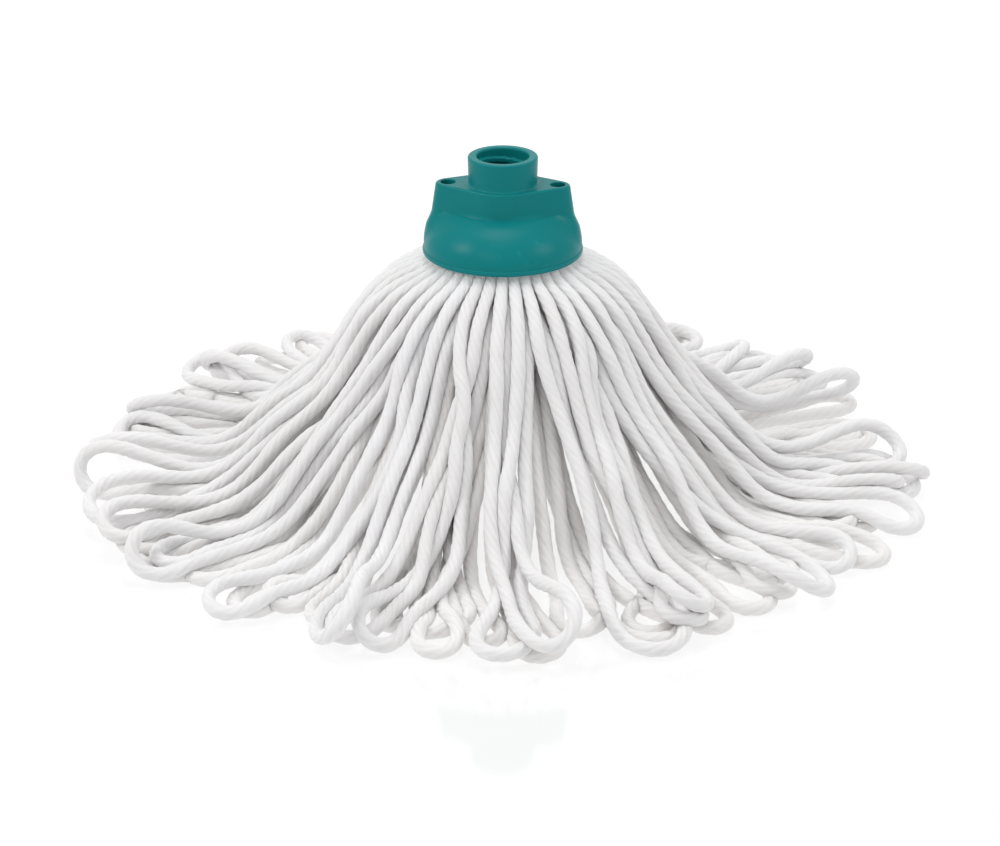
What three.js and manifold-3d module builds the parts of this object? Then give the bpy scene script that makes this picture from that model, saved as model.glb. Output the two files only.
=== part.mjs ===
// A string mop head: a screw-on socket cap that holds a hank of looped cotton yarn on a cross bar.
// Millimetres, +Z up. The origin is on the floor, under the middle of the cap, and the ears lie along X.

import * as THREE from 'three';
import { mergeVertices, toCreasedNormals } from 'three/addons/utils/BufferGeometryUtils.js';
import Module from 'manifold-3d';

const wasm = await Module();
wasm.setup();

// ---- Driving dimensions ----

// Cap, with heights above the rim's underside unless they say otherwise
const RIM_HEIGHT = 105.5; // floor to the rim's underside
const SKIRT_RADIUS = 34; // bell at the rim, above the lip
const LIP_PROUD = 0.6; // how far the lip's bead stands out of the skirt
const LIP_HEIGHT = 2.2;
const WALL = 2.4;
const DOME_HEIGHT = 19; // where the bell meets the boss
const DOME_FULLNESS = 1.7; // exponent of the bell's rounded outline: 2 is an ellipse, 1 is a cone
const BOSS_RADIUS = 16.5;
const PLATE_HEIGHT = 30.4; // top of the ear block
const COLLAR_RADIUS = 15;
const COLLAR_RISE = 12.3; // collar above the ear block
const EDGE_ROUND = 0.8;
const EAR_SPAN = 23.5; // cap axis to an ear hole's axis
const EAR_RADIUS = 5.3;
const EAR_HOLE_RADIUS = 3.2;

// Handle socket
const SOCKET_RADIUS = 11.2; // root of the thread
const SOCKET_FLOOR = 16;
const SOCKET_FLOOR_THICKNESS = 2.5;
const THREAD_PITCH = 5;
const THREAD_RISE = 1.4; // how far the ridge stands into the bore
const THREAD_ROOT_WIDTH = 2.6;
const THREAD_CREST_WIDTH = 1.1;
const THREAD_TURNS = 3;
const THREAD_START = 4.4; // first ridge below the collar's top

// Bar and screws
const CLEARANCE = 0.3; // between pieces that touch
const BAR_HALF_WIDTH = 3.4;
const BAR_THICKNESS = 5.5;
const BAR_UNDERSIDE = 3.5;
const TOWER_RADIUS = 4.2;
const SCREW_SEAT = 16; // ledge in the ear hole
const SCREW_HEAD_RADIUS = 2.7;
const SCREW_HEAD_HEIGHT = 2.2;
const SCREW_SHANK_RADIUS = 1.4;
const SCREW_TIP_INSET = 0.8; // the screw ends this far above the bar's underside
const RECESS_LENGTH = 3.4;
const RECESS_WIDTH = 0.9;
const RECESS_DEPTH = 1.2;

// Yarn
const YARN_RADIUS = 2.75;
const YARN_SIDES = 8;
const YARN_CLEARANCE = 0.45; // yarn to the cap, the fold and the core
const TUFTS = 8;
const LOOPS_PER_TUFT = 3;
const YARN_TOP = 1.8; // the runs start this far above the rim, inside the cap
const NECK_RADIUS = 17; // core below the fold, narrow enough for a lifted tuft
const CORE_RADIUS = 151;
const CORE_EDGE = 1.2; // thickness of the core's outer edge
const TURN_STATIONS = 3; // stations between a loop's two runs, round its U-turn

// Stations of a loop's front run near the cap: [out from the mouth's wall, below the rim, side spread
// in degrees]. Its two runs leave the mouth one behind the other and come side by side further out.
const FRONT_RUN = [
  [-3.2, -YARN_TOP, 0],
  [-3.1, 0.7, 0],
  [-0.8, 3.4, 0.3],
  [6.5, 6.2, 2.2],
  [14.5, 10.6, 3.2],
  [26.0, 22.5, 3.75],
];
const BACK_RUN = [
  [-9.0, -YARN_TOP, 0],
  [-9.0, 1.6, 0],
  [-6.2, 6.4, 0.3],
  [3.0, 11.2, 2.2],
  [11.0, 14.9, 3.2],
  [26.0, 22.5, 3.75],
];
// Stations of both runs down to the floor: [out from the mouth's wall, above the floor]
const DRAPE = [
  [34.0, 70.5],
  [42.0, 58.5],
  [50.5, 47.5],
  [60.0, 37.0],
  [70.5, 27.0],
  [82.0, 18.0],
  [94.5, 11.5],
  [107.5, 7.2],
  [119.5, 4.8],
  [131.4, 3.3],
];
const RUN_SPREAD = 3.75; // degrees from a loop's middle to each of its runs
// How each loop of a quarter of the mop lies: [reach of its U-turn's centre, side swing in degrees at it]
const LAY = [
  [145.4, 0.6],
  [141.4, -0.9],
  [144.0, 1.1],
  [142.4, -0.4],
  [145.8, 0.8],
  [140.2, -1.2],
];
const SWING_START = 72; // out from the mouth's wall, where a loop begins to swing aside

// ---- Worked-out sizes ----

const MOUTH_RADIUS = SKIRT_RADIUS - WALL;
const CEILING = SOCKET_FLOOR - SOCKET_FLOOR_THICKNESS;
const CEILING_FLAT_RADIUS = BOSS_RADIUS + 4.5;
const CAP_HEIGHT = PLATE_HEIGHT + COLLAR_RISE;
const BAR_TOP = BAR_UNDERSIDE + BAR_THICKNESS;
const TOWER_END = BAR_TOP + CLEARANCE;
const SCREW_HOLE_RADIUS = SCREW_SHANK_RADIUS + CLEARANCE;
const LOOPS = TUFTS * LOOPS_PER_TUFT;
const LOOP_ANGLE = 360 / LOOPS;

const ROUND_SEGMENTS = 40;
const SMALL_SEGMENTS = 12;
const CORE_SEGMENTS = 36;
const CUT = 1; // how far a cutting tool runs past the face it opens

// ---- Materials ----

const capPlastic = new THREE.MeshStandardMaterial({ color: 0x2a8586, roughness: 0.38, metalness: 0 });
const barPlastic = new THREE.MeshStandardMaterial({ color: 0xd8d8d2, roughness: 0.5, metalness: 0 });
const screwSteel = new THREE.MeshStandardMaterial({ color: 0xb4b7bb, roughness: 0.35, metalness: 1 });
const cottonYarn = new THREE.MeshStandardMaterial({ color: 0xe6e5e2, roughness: 0.95, metalness: 0 });
const cottonCore = new THREE.MeshStandardMaterial({ color: 0xd2d0cb, roughness: 0.95, metalness: 0 });

// ---- Shape helpers ----

// A geometry with shared vertices, no collapsed triangles, and its faces pointing out.
function closedGeometry(source) {
  const bare = source.index ? source.toNonIndexed() : source.clone();
  bare.deleteAttribute('normal');
  bare.deleteAttribute('uv');
  const merged = mergeVertices(bare, 1e-4);
  const corners = merged.index.array;
  const kept = [];
  for (let i = 0; i < corners.length; i += 3) {
    const [a, b, c] = corners.slice(i, i + 3);
    if (a !== b && b !== c && c !== a) kept.push(a, b, c);
  }
  merged.setIndex(kept);
  return signedVolume(merged) < 0 ? reversed(merged) : merged;
}

function signedVolume(geometry) {
  const place = geometry.attributes.position;
  const [a, b, c] = [new THREE.Vector3(), new THREE.Vector3(), new THREE.Vector3()];
  const corners = geometry.index.array;
  let volume = 0;
  for (let i = 0; i < corners.length; i += 3) {
    a.fromBufferAttribute(place, corners[i]);
    b.fromBufferAttribute(place, corners[i + 1]);
    c.fromBufferAttribute(place, corners[i + 2]);
    volume += a.dot(b.cross(c)) / 6;
  }
  return volume;
}

function reversed(geometry) {
  geometry.setIndex(Array.from(geometry.index.array).reverse());
  return geometry;
}

function solid(geometry) {
  const closed = closedGeometry(geometry);
  const mesh = new wasm.Mesh({
    numProp: 3,
    vertProperties: closed.attributes.position.array,
    triVerts: new Uint32Array(closed.index.array),
  });
  return new wasm.Manifold(mesh);
}

function geometryOf(manifold) {
  const mesh = manifold.getMesh();
  const geometry = new THREE.BufferGeometry();
  geometry.setAttribute('position', new THREE.BufferAttribute(mesh.vertProperties, 3));
  geometry.setIndex(new THREE.BufferAttribute(mesh.triVerts, 1));
  return geometry;
}

// A named mesh in a material, shaded smooth across gentle edges only.
function piece(name, geometry, material) {
  const mesh = new THREE.Mesh(toCreasedNormals(closedGeometry(geometry), Math.PI / 6), material);
  mesh.name = name;
  return mesh;
}

// A profile of [radius, height] points turned about Z.
function turned(profile, segments = ROUND_SEGMENTS) {
  const points = profile.map(([r, z]) => new THREE.Vector2(r, z));
  return new THREE.LatheGeometry(points, segments).rotateX(Math.PI / 2);
}

function cylinder(radius, bottom, top, x = 0, segments = SMALL_SEGMENTS) {
  return turned([[0, bottom], [radius, bottom], [radius, top], [0, top]], segments).translate(x, 0, 0);
}

// Points of a quarter-round edge, centred on [r, z], from angle `from` to angle `to` in degrees.
function roundEdge(r, z, radius, from, to, steps = 2) {
  return Array.from({ length: steps + 1 }, (_, i) => {
    const angle = THREE.MathUtils.degToRad(from + ((to - from) * i) / steps);
    return [r + radius * Math.cos(angle), z + radius * Math.sin(angle)];
  });
}

// Points of the bell's superellipse quarter, from its foot [r + width, z] to its top [r, z + height].
function bellOutline(r, z, width, height, steps) {
  return Array.from({ length: steps + 1 }, (_, i) => {
    const angle = (Math.PI / 2) * (i / steps);
    const power = 2 / DOME_FULLNESS;
    return [r + width * Math.cos(angle) ** power, z + height * Math.sin(angle) ** power];
  });
}

// ---- Cap ----

// The turned part of the cap's outside: lip, bell, boss and collar.
function capBody() {
  const lipRadius = SKIRT_RADIUS + LIP_PROUD;
  const lipRound = LIP_HEIGHT / 4;
  return turned([
    [0, 0],
    ...roundEdge(lipRadius - lipRound, lipRound, lipRound, -90, 0, 1),
    ...roundEdge(lipRadius - lipRound, LIP_HEIGHT - lipRound, lipRound, 0, 90, 1),
    ...bellOutline(BOSS_RADIUS, LIP_HEIGHT, SKIRT_RADIUS - BOSS_RADIUS, DOME_HEIGHT - LIP_HEIGHT, 6),
    [BOSS_RADIUS, PLATE_HEIGHT - EDGE_ROUND],
    [COLLAR_RADIUS, PLATE_HEIGHT - EDGE_ROUND],
    ...roundEdge(COLLAR_RADIUS - EDGE_ROUND, CAP_HEIGHT - EDGE_ROUND, EDGE_ROUND, 0, 90),
    [0, CAP_HEIGHT],
  ]);
}

// The outline that wraps the boss and both ears: four tangent lines between three circles.
function lozenge() {
  const slant = Math.acos((BOSS_RADIUS - EAR_RADIUS) / EAR_SPAN);
  const shape = new THREE.Shape();
  shape.absarc(EAR_SPAN, 0, EAR_RADIUS, -slant, slant);
  shape.absarc(0, 0, BOSS_RADIUS, slant, Math.PI - slant);
  shape.absarc(-EAR_SPAN, 0, EAR_RADIUS, Math.PI - slant, Math.PI + slant);
  shape.absarc(0, 0, BOSS_RADIUS, Math.PI + slant, 2 * Math.PI - slant);
  return shape;
}

function earBlock() {
  const foot = CEILING / 2;
  const block = new THREE.ExtrudeGeometry(lozenge(), {
    depth: PLATE_HEIGHT - foot - 2 * EDGE_ROUND,
    curveSegments: 9,
    bevelThickness: EDGE_ROUND,
    bevelSize: EDGE_ROUND,
    bevelOffset: -EDGE_ROUND,
    bevelSegments: 2,
  });
  return block.translate(0, 0, foot + EDGE_ROUND);
}

// The room for the yarn, open at the rim.
function chamber(inset = 0, floor = -CUT) {
  const ceiling = CEILING - inset;
  const flat = CEILING_FLAT_RADIUS - inset;
  const width = MOUTH_RADIUS - CEILING_FLAT_RADIUS;
  const foot = Math.asin((Math.max(0, floor) / ceiling) ** (DOME_FULLNESS / 2));
  return turned([
    [0, floor],
    [flat + width * Math.cos(foot) ** (2 / DOME_FULLNESS), floor],
    ...bellOutline(flat, 0, width, ceiling, 5).filter(([, z]) => z > floor + CUT / 4),
    [0, ceiling],
  ]);
}

// The posts under the ears that the bar is pulled up to.
function towers(radius, bottom) {
  const left = solid(cylinder(radius, bottom, CEILING + CUT, -EAR_SPAN));
  return left.add(solid(cylinder(radius, bottom, CEILING + CUT, EAR_SPAN)));
}

// A right-handed ridge round the bore: a straight bar of the ridge's section, bent round the axis.
// Its height fades to nothing at both ends.
function threadRidge() {
  const buried = 0.5; // how far the ridge's root is sunk in the bore's wall
  const stepsPerTurn = 14;
  const fadeTurns = THREAD_TURNS / 12; // the ridge grows out of the wall over this much at each end
  const leastRise = 0.1; // share of its height that it ends with
  const section = new THREE.Shape([
    new THREE.Vector2(-buried, -THREAD_ROOT_WIDTH / 2),
    new THREE.Vector2(THREAD_RISE, -THREAD_CREST_WIDTH / 2),
    new THREE.Vector2(THREAD_RISE, THREAD_CREST_WIDTH / 2),
    new THREE.Vector2(-buried, THREAD_ROOT_WIDTH / 2),
  ]);
  const steps = Math.round(THREAD_TURNS * stepsPerTurn);
  const ridge = new THREE.ExtrudeGeometry(section, { depth: 1, steps, bevelEnabled: false });
  const place = ridge.attributes.position;
  const top = CAP_HEIGHT - THREAD_START;
  for (let i = 0; i < place.count; i++) {
    const along = place.getZ(i);
    const turn = -along * THREAD_TURNS * 2 * Math.PI;
    const fade = Math.min(1, (Math.min(along, 1 - along) * THREAD_TURNS) / fadeTurns);
    const inward = place.getX(i) * (place.getX(i) > 0 ? leastRise + (1 - leastRise) * fade : 1);
    const r = SOCKET_RADIUS - inward;
    const z = top - along * THREAD_TURNS * THREAD_PITCH + place.getY(i);
    place.setXYZ(i, r * Math.cos(turn), r * Math.sin(turn), z);
  }
  return ridge;
}

function socketCap() {
  let cap = solid(capBody()).add(solid(earBlock()));
  cap = cap.subtract(solid(chamber()).subtract(towers(TOWER_RADIUS, TOWER_END)));
  const bore = turned([
    [0, SOCKET_FLOOR],
    [SOCKET_RADIUS, SOCKET_FLOOR],
    [SOCKET_RADIUS, CAP_HEIGHT - EDGE_ROUND],
    [SOCKET_RADIUS + EDGE_ROUND, CAP_HEIGHT],
    [SOCKET_RADIUS + EDGE_ROUND, CAP_HEIGHT + CUT],
    [0, CAP_HEIGHT + CUT],
  ]);
  cap = cap.subtract(solid(bore)).add(solid(threadRidge()));
  for (const x of [-EAR_SPAN, EAR_SPAN]) {
    cap = cap.subtract(solid(cylinder(EAR_HOLE_RADIUS, SCREW_SEAT, PLATE_HEIGHT + CUT, x)));
    cap = cap.subtract(solid(cylinder(SCREW_HOLE_RADIUS, TOWER_END - CUT, SCREW_SEAT + CUT, x)));
  }
  return geometryOf(cap);
}

// ---- Bar and screws ----

function barOutline(halfWidth) {
  const shape = new THREE.Shape();
  shape.absarc(EAR_SPAN, 0, halfWidth, -Math.PI / 2, Math.PI / 2);
  shape.absarc(-EAR_SPAN, 0, halfWidth, Math.PI / 2, (3 * Math.PI) / 2);
  return shape;
}

function bar(halfWidth, bottom, top) {
  const block = new THREE.ExtrudeGeometry(barOutline(halfWidth), {
    depth: top - bottom,
    curveSegments: 10,
    bevelEnabled: false,
  });
  return block.translate(0, 0, bottom);
}

function yarnBar() {
  let made = solid(bar(BAR_HALF_WIDTH, BAR_UNDERSIDE, BAR_TOP));
  for (const x of [-EAR_SPAN, EAR_SPAN]) {
    made = made.subtract(solid(cylinder(SCREW_HOLE_RADIUS, BAR_UNDERSIDE - CUT, BAR_TOP + CUT, x)));
  }
  return geometryOf(made);
}

// A pan-head screw with a cross recess, standing on the ledge in its ear hole.
function barScrew(x) {
  const seat = SCREW_SEAT + CLEARANCE;
  const headTop = seat + SCREW_HEAD_HEIGHT;
  const tip = BAR_UNDERSIDE + SCREW_TIP_INSET;
  const body = turned(
    [
      [0, tip],
      [SCREW_SHANK_RADIUS / 2, tip],
      [SCREW_SHANK_RADIUS, tip + SCREW_SHANK_RADIUS],
      [SCREW_SHANK_RADIUS, seat],
      [SCREW_HEAD_RADIUS, seat],
      ...roundEdge(SCREW_HEAD_RADIUS - EDGE_ROUND, headTop - EDGE_ROUND, EDGE_ROUND, 0, 90, 2),
      [0, headTop],
    ],
    SMALL_SEGMENTS,
  );
  const slot = new THREE.BoxGeometry(RECESS_LENGTH, RECESS_WIDTH, 2 * RECESS_DEPTH);
  slot.translate(0, 0, headTop);
  const across = slot.clone().rotateZ(Math.PI / 2);
  const cut = solid(body).subtract(solid(slot).add(solid(across)));
  return geometryOf(cut).translate(x, 0, 0);
}

// ---- Yarn ----

// The folded middle of the hank: it fills the chamber and wraps the bar and the posts.
function yarnFold() {
  const bottom = YARN_TOP + CLEARANCE;
  const slot = solid(bar(BAR_HALF_WIDTH + CLEARANCE, BAR_UNDERSIDE - CLEARANCE, BAR_TOP + CLEARANCE));
  const room = slot.add(towers(TOWER_RADIUS + CLEARANCE, BAR_TOP - CLEARANCE));
  return geometryOf(solid(chamber(YARN_CLEARANCE, bottom)).subtract(room));
}

// A run's stations as [radius, height, spread], from the mouth to the floor.
function runStations(start) {
  const near = start.map(([out, below, spread]) => [MOUTH_RADIUS + out, RIM_HEIGHT - below, spread]);
  const far = DRAPE.map(([out, above]) => [MOUTH_RADIUS + out, above, RUN_SPREAD]);
  return [...near, ...far];
}

function onMop(radius, height, degrees) {
  const angle = THREE.MathUtils.degToRad(degrees);
  return new THREE.Vector3(radius * Math.cos(angle), radius * Math.sin(angle), height);
}

// A loop's stations: down its front run, round the U-turn, and back up its back run.
function loopStations(index) {
  const middle = (index + 0.5) * LOOP_ANGLE;
  const [reach, swing] = LAY[index % LAY.length];
  const turnCentre = MOUTH_RADIUS + reach;
  const swung = (radius) => {
    const share = (radius - MOUTH_RADIUS - SWING_START) / (reach - SWING_START);
    return swing * THREE.MathUtils.clamp(share, 0, 1);
  };
  const front = runStations(FRONT_RUN).map(([r, z, spread]) => onMop(r, z, middle + swung(r) - spread));
  const back = runStations(BACK_RUN).map(([r, z, spread]) => onMop(r, z, middle + swung(r) + spread));
  const floorHeight = YARN_RADIUS + CLEARANCE;
  const turnRadius = turnCentre * Math.sin(THREE.MathUtils.degToRad(RUN_SPREAD));
  const centre = onMop(turnCentre, floorHeight, middle + swing);
  const outward = onMop(1, 0, middle + swing);
  const sideways = onMop(1, 0, middle + swing + 90);
  const turn = Array.from({ length: TURN_STATIONS + 2 }, (_, i) => {
    const angle = (Math.PI * i) / (TURN_STATIONS + 1);
    return centre
      .clone()
      .addScaledVector(outward, turnRadius * Math.sin(angle))
      .addScaledVector(sideways, -turnRadius * Math.cos(angle));
  });
  return [...front, ...turn, ...back.reverse()];
}

// A path that visits its stations in equal steps, so that an extrusion has one ring at each.
class StationPath extends THREE.Curve {
  constructor(stations) {
    super();
    this.stations = stations;
  }

  getPoint(t) {
    const place = t * (this.stations.length - 1);
    const before = Math.min(Math.floor(place + 1e-6), this.stations.length - 2);
    return this.stations[before].clone().lerp(this.stations[before + 1], place - before);
  }

  getPointAt(u) {
    return this.getPoint(u);
  }

  getTangentAt(u) {
    const half = 1e-3;
    const ahead = this.getPoint(Math.min(1, u + half));
    const behind = this.getPoint(Math.max(0, u - half));
    const forward = ahead.sub(this.getPoint(u)).normalize();
    const arriving = this.getPoint(u).sub(behind).normalize();
    return forward.add(arriving).normalize();
  }
}

function yarnTube(stations) {
  const section = new THREE.Shape(
    Array.from({ length: YARN_SIDES }, (_, i) => {
      const angle = (2 * Math.PI * (i + 0.5)) / YARN_SIDES;
      return new THREE.Vector2(YARN_RADIUS * Math.cos(angle), YARN_RADIUS * Math.sin(angle));
    }),
  );
  return new THREE.ExtrudeGeometry(section, {
    steps: stations.length - 1,
    extrudePath: new StationPath(stations),
  });
}

// The inner strands as one turned body: it lies a yarn's radius and a clearance under the back runs.
function strandCore() {
  const run = runStations(BACK_RUN).map(([r, z]) => new THREE.Vector2(r, z));
  const under = YARN_RADIUS + YARN_CLEARANCE;
  const top = [];
  for (let i = 2; i < run.length - 1; i++) {
    const along = run[i + 1].clone().sub(run[i - 1]).normalize();
    const lowered = new THREE.Vector2(along.y, -along.x).multiplyScalar(under).add(run[i]);
    if (lowered.x < CORE_RADIUS - CORE_EDGE && lowered.y > CORE_EDGE) top.push([lowered.x, lowered.y]);
  }
  const neckFoot = top[0][1] + YARN_RADIUS;
  return turned([
    [0, 0],
    [CORE_RADIUS, 0],
    [CORE_RADIUS, CORE_EDGE],
    ...top.reverse(),
    [NECK_RADIUS, neckFoot],
    [NECK_RADIUS, RIM_HEIGHT + YARN_TOP],
    [0, RIM_HEIGHT + YARN_TOP],
  ], CORE_SEGMENTS);
}

// ---- Assembly ----

const mop = new THREE.Group();

const head = new THREE.Group();
head.position.z = RIM_HEIGHT;
head.add(
  piece('socket_cap', socketCap(), capPlastic),
  piece('yarn_bar', yarnBar(), barPlastic),
  piece('bar_screw_left', barScrew(-EAR_SPAN), screwSteel),
  piece('bar_screw_right', barScrew(EAR_SPAN), screwSteel),
  piece('yarn_fold', yarnFold(), cottonCore),
);
mop.add(head, piece('strand_core', strandCore(), cottonCore));

for (let index = 0; index < LOOPS; index++) {
  const name = `strand_loop_${String(index + 1).padStart(2, '0')}`;
  mop.add(piece(name, yarnTube(loopStations(index)), cottonYarn));
}

export default mop;
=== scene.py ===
"""The looks of a string mop head: a moulded teal cap on a hank of looped white cotton yarn.

Lengths in the classes are in millimetres and heights in the cap's own profile count from the rim's
underside. Everything goes into the meshes in metres, in the frame's own axes: +Z up, ears along X.
"""
import logging
import math
from dataclasses import dataclass, field
from enum import Enum

import bpy
import numpy as np
from mathutils import Matrix, Vector


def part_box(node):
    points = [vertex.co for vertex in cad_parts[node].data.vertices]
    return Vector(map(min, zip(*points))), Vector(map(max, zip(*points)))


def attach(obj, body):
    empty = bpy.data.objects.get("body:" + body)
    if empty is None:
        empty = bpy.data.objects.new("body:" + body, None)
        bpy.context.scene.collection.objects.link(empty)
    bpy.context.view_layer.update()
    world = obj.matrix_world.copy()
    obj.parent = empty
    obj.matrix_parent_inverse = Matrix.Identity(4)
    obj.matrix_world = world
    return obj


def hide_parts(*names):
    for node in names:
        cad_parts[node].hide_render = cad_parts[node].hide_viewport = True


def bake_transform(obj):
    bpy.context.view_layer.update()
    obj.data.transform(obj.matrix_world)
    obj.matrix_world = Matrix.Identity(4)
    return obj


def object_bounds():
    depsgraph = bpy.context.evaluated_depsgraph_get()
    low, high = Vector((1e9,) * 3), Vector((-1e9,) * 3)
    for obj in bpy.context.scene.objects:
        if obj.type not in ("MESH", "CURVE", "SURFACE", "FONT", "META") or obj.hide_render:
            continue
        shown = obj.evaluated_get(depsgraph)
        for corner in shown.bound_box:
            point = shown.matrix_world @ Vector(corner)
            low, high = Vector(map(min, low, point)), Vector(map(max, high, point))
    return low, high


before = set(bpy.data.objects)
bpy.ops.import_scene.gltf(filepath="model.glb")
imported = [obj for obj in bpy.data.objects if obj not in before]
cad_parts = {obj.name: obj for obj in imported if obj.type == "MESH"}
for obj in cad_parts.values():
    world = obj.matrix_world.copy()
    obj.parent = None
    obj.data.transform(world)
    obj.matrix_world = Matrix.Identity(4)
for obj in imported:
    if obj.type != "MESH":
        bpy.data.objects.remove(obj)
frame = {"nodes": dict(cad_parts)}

MM = 0.001
CAD_BOX = [list(corner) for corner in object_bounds()]
log = logging.getLogger("mop")


# ---------------------------------------------------------------- shader maths


class Value:
    """A number or colour on its way through a node tree, with the operators the finishes use."""

    def __init__(self, book: "NodeBook", socket: bpy.types.NodeSocket) -> None:
        """Keeps the tree and the socket that the value leaves from."""
        self.book = book
        self.socket = socket

    def _math(self, operation: str, *terms: "Value | float") -> "Value":
        """Adds one Math node over the terms."""
        return self.book.node("ShaderNodeMath", {"operation": operation}, dict(enumerate(terms)))

    def __add__(self, other: "Value | float") -> "Value":
        """self + other"""
        return self._math("ADD", self, other)

    def __sub__(self, other: "Value | float") -> "Value":
        """self - other"""
        return self._math("SUBTRACT", self, other)

    def __rsub__(self, other: float) -> "Value":
        """other - self"""
        return self._math("SUBTRACT", other, self)

    def __mul__(self, other: "Value | float") -> "Value":
        """self * other"""
        return self._math("MULTIPLY", self, other)

    __radd__ = __add__
    __rmul__ = __mul__

    def clamped(self) -> "Value":
        """The value held between 0 and 1."""
        held = self._math("ADD", self, 0.0)
        held.socket.node.use_clamp = True
        return held


class NodeBook:
    """Writes the node tree of one material."""

    def __init__(self, name: str) -> None:
        """Starts a material with an empty tree.

        Args:
            name: The material's name.
        """
        self.material = bpy.data.materials.new(name)
        self.material.use_nodes = True
        self.tree = self.material.node_tree
        self.tree.nodes.clear()

    def node(self, kind: str, settings: dict | None = None, inputs: dict | None = None,
             output: int | str | None = 0) -> Value | None:
        """Adds a node.

        Args:
            kind: The node's type.
            settings: Its own settings, set before its sockets.
            inputs: Values or links of its sockets, by index or name.
            output: The output that the returned value leaves from, or None on a node that has none.

        Returns:
            The chosen output.
        """
        made = self.tree.nodes.new(kind)
        for key, value in (settings or {}).items():
            setattr(made, key, value)
        for key, value in (inputs or {}).items():
            if isinstance(value, Value):
                self.tree.links.new(value.socket, made.inputs[key])
            else:
                made.inputs[key].default_value = value
        return None if output is None else Value(self, made.outputs[output])

    def noise(self, vector: Value, scale: float, detail: float = 2.0, roughness: float = 0.5) -> Value:
        """Noise from 0 to 1 over a vector, with its coarsest waves 1 / scale apart."""
        inputs = {"Vector": vector, "Scale": scale, "Detail": detail, "Roughness": roughness}
        return self.node("ShaderNodeTexNoise", {}, inputs, "Fac")

    def mapped(self, value: Value, low: float, high: float, to_low: float, to_high: float) -> Value:
        """The value's range from low to high spread, and held, over to_low to to_high."""
        inputs = {0: value, 1: low, 2: high, 3: to_low, 4: to_high}
        return self.node("ShaderNodeMapRange", {"clamp": True}, inputs)

    def stretched(self, vector: Value, scale: tuple[float, float, float]) -> Value:
        """The vector with each axis scaled on its own."""
        return self.node("ShaderNodeMapping", {}, {"Vector": vector, "Scale": scale})

    def mixed(self, factor: Value | float, first: "Value | tuple", second: "Value | tuple") -> Value:
        """A colour between first, at 0, and second, at 1."""
        inputs = {0: factor, 6: first, 7: second}
        return self.node("ShaderNodeMix", {"data_type": "RGBA"}, inputs, 2)

    def bump(self, height: Value, strength: float, distance: float) -> Value:
        """A normal bent by a height, which is 0 to 1 and stands for distance, in metres."""
        inputs = {"Height": height, "Strength": strength, "Distance": distance}
        return self.node("ShaderNodeBump", {}, inputs)

    def surface(self, inputs: dict) -> bpy.types.Material:
        """Ends the tree in a Principled surface with these inputs.

        Args:
            inputs: Values or links of the shader's sockets, by name.

        Returns:
            The finished material.
        """
        shader = self.node("ShaderNodeBsdfPrincipled", {}, inputs)
        self.node("ShaderNodeOutputMaterial", {}, {"Surface": shader}, None)
        return self.material


# ---------------------------------------------------------------- finishes


def linear(red: int, green: int, blue: int) -> tuple[float, float, float, float]:
    """A screen colour of 0 to 255 a channel as the linear colour that shaders take."""
    parts = [c / 255 for c in (red, green, blue)]
    return (*[p / 12.92 if p <= 0.04045 else ((p + 0.055) / 1.055) ** 2.4 for p in parts], 1.0)


@dataclass(frozen=True)
class SatinPlastic:
    """Moulded polypropylene: a soft sheen, a faint grain and light handling scuffs."""

    name: str
    colour: tuple[float, float, float, float]
    worn: tuple[float, float, float, float]
    roughness: float = 0.30
    gloss: float = 0.12
    cloud_scale: float = 60.0
    scuff_scale: float = 230.0
    streak_scale: float = 700.0
    grain_scale: float = 2600.0
    grain_depth: float = 0.00002

    def material(self) -> bpy.types.Material:
        """The node material of this finish."""
        book = NodeBook(self.name)
        place = book.node("ShaderNodeTexCoord", {}, {}, "Object")
        cloud = book.noise(place, self.cloud_scale, 3.0)
        scuff = book.mapped(book.noise(place, self.scuff_scale, 4.0, 0.65), 0.56, 0.72, 0.0, 1.0)
        grain = book.noise(place, self.grain_scale, 2.0)
        streak = book.noise(book.stretched(place, (1.0, 1.0, 0.2)), self.streak_scale, 2.0)
        scuffed = (scuff * book.mapped(cloud, 0.45, 0.7, 0.0, 1.0)).clamped()
        tone = (0.25 * scuffed + 0.12 * cloud).clamped()
        return book.surface({
            "Base Color": book.mixed(tone, self.colour, self.worn),
            "Roughness": self.roughness + 0.10 * cloud + 0.08 * scuffed,
            "Specular IOR Level": self.gloss,
            "Normal": book.bump(0.7 * grain + 0.3 * streak, 0.35, self.grain_depth),
        })


@dataclass(frozen=True)
class ZincSteel:
    """Bright zinc plate over steel: brushed round the axis, with a clouded tone."""

    name: str = "zinc_steel"
    cloud_scale: float = 400.0
    brush_scale: float = 900.0
    brush_depth: float = 0.00002

    def material(self) -> bpy.types.Material:
        """The node material of this finish."""
        book = NodeBook(self.name)
        place = book.node("ShaderNodeTexCoord", {}, {}, "Object")
        cloud = book.noise(place, self.cloud_scale, 3.0)
        brushed = book.noise(book.stretched(place, (1.0, 1.0, 14.0)), self.brush_scale, 2.0)
        return book.surface({
            "Base Color": book.mixed(cloud, linear(176, 180, 186), linear(206, 206, 198)),
            "Metallic": 1.0,
            "Roughness": 0.24 + 0.2 * brushed,
            "Normal": book.bump(brushed, 0.3, self.brush_depth),
        })


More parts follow.
